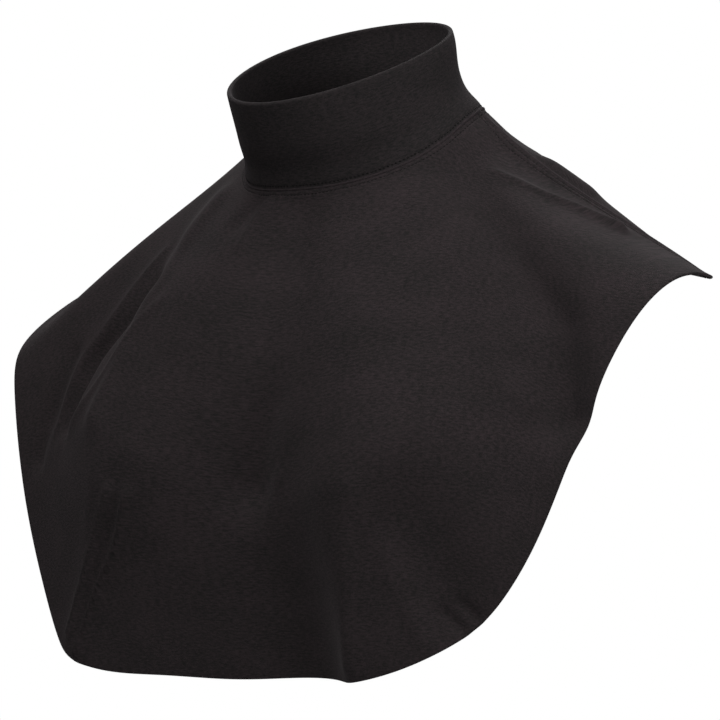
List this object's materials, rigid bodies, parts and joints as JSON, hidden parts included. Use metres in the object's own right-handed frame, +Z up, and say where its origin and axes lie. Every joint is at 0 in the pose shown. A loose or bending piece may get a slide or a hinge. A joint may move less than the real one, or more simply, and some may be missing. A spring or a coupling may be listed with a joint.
{
  "type": "turtleneck dickey",
  "caption": "Knitted mock-turtleneck dickey: a folded neck band sewn to a front and a back bib that lie over the shoulders, in its worn form.",
  "frame": {"origin": "middle of the neck seam, where the neck passes through, at the height of the seam at the sides of the neck", "axes": "+X to the wearer's left, -Y out of the front of the chest, +Z up along the neck"},
  "size_m": [0.4359, 0.214, 0.3513],
  "materials": {
    "bib_knit": "matte fine cotton interlock, warm near-black",
    "band_knit": "matte fine rib knit folded double, warm near-black",
    "seam_knit": "matte knit rolled into a sewn ridge, warm near-black"
  },
  "bodies": {
    "root": {"collar": "band_knit", "neck_seam": "seam_knit", "front_panel": "bib_knit", "back_panel": "bib_knit", "left_shoulder_seam": "seam_knit", "right_shoulder_seam": "seam_knit"}
  },
  "joints": []
}
